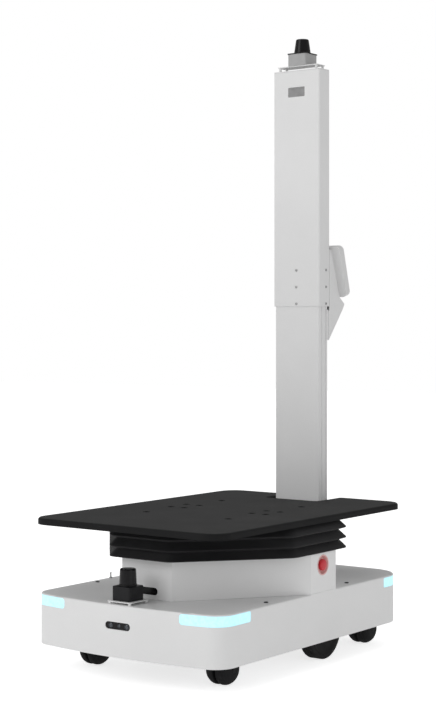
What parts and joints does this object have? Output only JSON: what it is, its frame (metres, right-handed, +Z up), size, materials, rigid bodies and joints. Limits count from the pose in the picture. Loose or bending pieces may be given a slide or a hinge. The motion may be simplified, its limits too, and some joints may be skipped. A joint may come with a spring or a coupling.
{
  "type": "autonomous mobile robot",
  "caption": "Wheeled indoor transport robot with a lifting table on bellows, a sensor mast behind it and a tilted display.",
  "frame": {"origin": "on the floor, under the middle of the whole robot's bounding box", "axes": "+Z up, front of the robot faces -Y, +X is the side with the emergency stop"},
  "size_m": [0.58, 0.8716, 1.6164],
  "materials": {
    "aerial_stub": "plated steel",
    "battery": "grey battery case",
    "bellows": "black coated fabric bellows",
    "belly_pans": "black powder coat",
    "body_cover": "semi-matt white paint",
    "camera_modules": "black anodised housing",
    "caster_fork_front_left": "black coated steel",
    "caster_fork_front_right": "black coated steel",
    "caster_fork_rear_left": "black coated steel",
    "caster_fork_rear_right": "black coated steel",
    "caster_plates": "zinc-plated steel",
    "caster_wheel_front_left": "black rubber wheels",
    "caster_wheel_front_right": "black rubber wheels",
    "caster_wheel_rear_left": "black rubber wheels",
    "caster_wheel_rear_right": "black rubber wheels",
    "chassis_plate": "bare mill aluminium",
    "chassis_rails": "bare mill aluminium",
    "deck_screws": "black oxide steel",
    "display_housing": "white moulded plastic",
    "display_panel": "display panel",
    "display_screen": "dark touch glass",
    "display_wedge": "semi-matt white paint",
    "drive_brackets": "bare mill aluminium",
    "drive_controller": "black anodised heat sink",
    "drive_hub_left": "cast aluminium",
    "drive_hub_right": "cast aluminium",
    "drive_motors": "black painted motor",
    "drive_tyre_left": "black polyurethane tread",
    "drive_tyre_right": "black polyurethane tread",
    "front_camera_bezel": "glossy black window",
    "front_camera_lenses": "dark coated lens",
    "front_lidar_base": "black anodised case",
    "front_lidar_bracket": "white painted sheet",
    "front_lidar_rotor": "rotating scanner head",
    "front_lidar_window": "glossy infrared-pass dome",
    "front_light_lenses": "diffusing light-strip lens, lit pale cyan",
    "lift_frame": "black powder coat",
    "lift_guide_sleeves": "ground steel",
    "lift_piston": "ground steel",
    "lift_ram": "black painted motor",
    "lift_rods": "ground steel",
    "light_boards": "white LED board",
    "mast_camera_window": "grey tinted window",
    "mast_cap": "semi-matt white paint",
    "mast_column": "semi-matt white paint",
    "mast_foot": "bare mill aluminium",
    "mast_lidar_base": "silver anodised case",
    "mast_lidar_bracket": "white painted sheet",
    "mast_lidar_rotor": "rotating scanner head",
    "mast_lidar_window": "glossy infrared-pass dome",
    "mast_screws": "stainless steel",
    "mast_sleeve": "semi-matt white paint",
    "rear_light_lenses": "diffusing light-strip lens, lit pale cyan",
    "stop_contact_block": "black contact block",
    "stop_cup": "pale red collar",
    "stop_head": "red mushroom head",
    "stop_stem": "black plunger",
    "table_plate": "black fine-textured powder coat",
    "tower_camera_window": "glossy black window",
    "tower_cover": "semi-matt white paint"
  },
  "bodies": {
    "chassis": {"aerial_stub": "aerial_stub", "battery": "battery", "bellows": "bellows", "belly_pans": "belly_pans", "body_cover": "body_cover", "camera_modules": "camera_modules", "caster_plates": "caster_plates", "chassis_plate": "chassis_plate", "chassis_rails": "chassis_rails", "deck_screws": "deck_screws", "display_housing": "display_housing", "display_panel": "display_panel", "display_screen": "display_screen", "display_wedge": "display_wedge", "drive_brackets": "drive_brackets", "drive_controller": "drive_controller", "drive_motors": "drive_motors", "front_camera_bezel": "front_camera_bezel", "front_camera_lenses": "front_camera_lenses", "front_lidar_base": "front_lidar_base", "front_lidar_bracket": "front_lidar_bracket", "front_lidar_window": "front_lidar_window", "front_light_lenses": "front_light_lenses", "lift_guide_sleeves": "lift_guide_sleeves", "lift_ram": "lift_ram", "light_boards": "light_boards", "mast_camera_window": "mast_camera_window", "mast_cap": "mast_cap", "mast_column": "mast_column", "mast_foot": "mast_foot", "mast_lidar_base": "mast_lidar_base", "mast_lidar_bracket": "mast_lidar_bracket", "mast_lidar_window": "mast_lidar_window", "mast_screws": "mast_screws", "mast_sleeve": "mast_sleeve", "rear_light_lenses": "rear_light_lenses", "stop_contact_block": "stop_contact_block", "stop_cup": "stop_cup", "tower_camera_window": "tower_camera_window", "tower_cover": "tower_cover"},
    "table": {"table_plate": "table_plate", "lift_frame": "lift_frame", "lift_rods": "lift_rods", "lift_piston": "lift_piston"},
    "drive_left": {"drive_hub_left": "drive_hub_left", "drive_tyre_left": "drive_tyre_left"},
    "drive_right": {"drive_hub_right": "drive_hub_right", "drive_tyre_right": "drive_tyre_right"},
    "stop_plunger": {"stop_stem": "stop_stem"},
    "stop_button": {"stop_head": "stop_head"},
    "front_scanner": {"front_lidar_rotor": "front_lidar_rotor"},
    "mast_scanner": {"mast_lidar_rotor": "mast_lidar_rotor"},
    "caster_front_left": {"caster_fork_front_left": "caster_fork_front_left"},
    "wheels_front_left": {"caster_wheel_front_left": "caster_wheel_front_left"},
    "caster_front_right": {"caster_fork_front_right": "caster_fork_front_right"},
    "wheels_front_right": {"caster_wheel_front_right": "caster_wheel_front_right"},
    "caster_rear_left": {"caster_fork_rear_left": "caster_fork_rear_left"},
    "wheels_rear_left": {"caster_wheel_rear_left": "caster_wheel_rear_left"},
    "caster_rear_right": {"caster_fork_rear_right": "caster_fork_rear_right"},
    "wheels_rear_right": {"caster_wheel_rear_right": "caster_wheel_rear_right"}
  },
  "joints": [
    {"name": "table_lift", "type": "slide", "parent": "chassis", "child": "table", "axis": [0, 0, 1], "range_m": [-0.04, 0.04], "deforming": ["bellows"]},
    {"name": "drive_spin_left", "type": "hinge", "parent": "chassis", "child": "drive_left", "pos_m": [-0.2165, 0.1012, 0.074], "axis": [1, 0, 0], "continuous": true},
    {"name": "drive_spin_right", "type": "hinge", "parent": "chassis", "child": "drive_right", "pos_m": [0.2165, 0.1012, 0.074], "axis": [1, 0, 0], "continuous": true},
    {"name": "caster_swivel_front_left", "type": "hinge", "parent": "chassis", "child": "caster_front_left", "pos_m": [-0.1948, -0.3158, 0.09], "axis": [0, 0, 1], "continuous": true},
    {"name": "caster_roll_front_left", "type": "hinge", "parent": "caster_front_left", "child": "wheels_front_left", "pos_m": [-0.1948, -0.2858, 0.0375], "axis": [1, 0, 0], "continuous": true},
    {"name": "caster_swivel_front_right", "type": "hinge", "parent": "chassis", "child": "caster_front_right", "pos_m": [0.1948, -0.3158, 0.09], "axis": [0, 0, 1], "continuous": true},
    {"name": "caster_roll_front_right", "type": "hinge", "parent": "caster_front_right", "child": "wheels_front_right", "pos_m": [0.1948, -0.2858, 0.0375], "axis": [1, 0, 0], "continuous": true},
    {"name": "caster_swivel_rear_left", "type": "hinge", "parent": "chassis", "child": "caster_rear_left", "pos_m": [-0.1948, 0.3112, 0.09], "axis": [0, 0, 1], "continuous": true},
    {"name": "caster_roll_rear_left", "type": "hinge", "parent": "caster_rear_left", "child": "wheels_rear_left", "pos_m": [-0.1948, 0.3412, 0.0375], "axis": [1, 0, 0], "continuous": true},
    {"name": "caster_swivel_rear_right", "type": "hinge", "parent": "chassis", "child": "caster_rear_right", "pos_m": [0.1948, 0.3112, 0.09], "axis": [0, 0, 1], "continuous": true},
    {"name": "caster_roll_rear_right", "type": "hinge", "parent": "caster_rear_right", "child": "wheels_rear_right", "pos_m": [0.1948, 0.3412, 0.0375], "axis": [1, 0, 0], "continuous": true},
    {"name": "stop_push", "type": "slide", "parent": "chassis", "child": "stop_plunger", "axis": [-1, 0, 0], "range_m": [0, 0.004]},
    {"name": "stop_twist", "type": "hinge", "parent": "stop_plunger", "child": "stop_button", "pos_m": [0.285, 0.0082, 0.252], "axis": [1, 0, 0], "range_deg": [0, 45]},
    {"name": "front_scan", "type": "hinge", "parent": "chassis", "child": "front_scanner", "pos_m": [0, -0.3968, 0.245], "axis": [0, 0, 1], "continuous": true},
    {"name": "mast_scan", "type": "hinge", "parent": "chassis", "child": "mast_scanner", "pos_m": [0, 0.3512, 1.59], "axis": [0, 0, 1], "continuous": true}
  ]
}
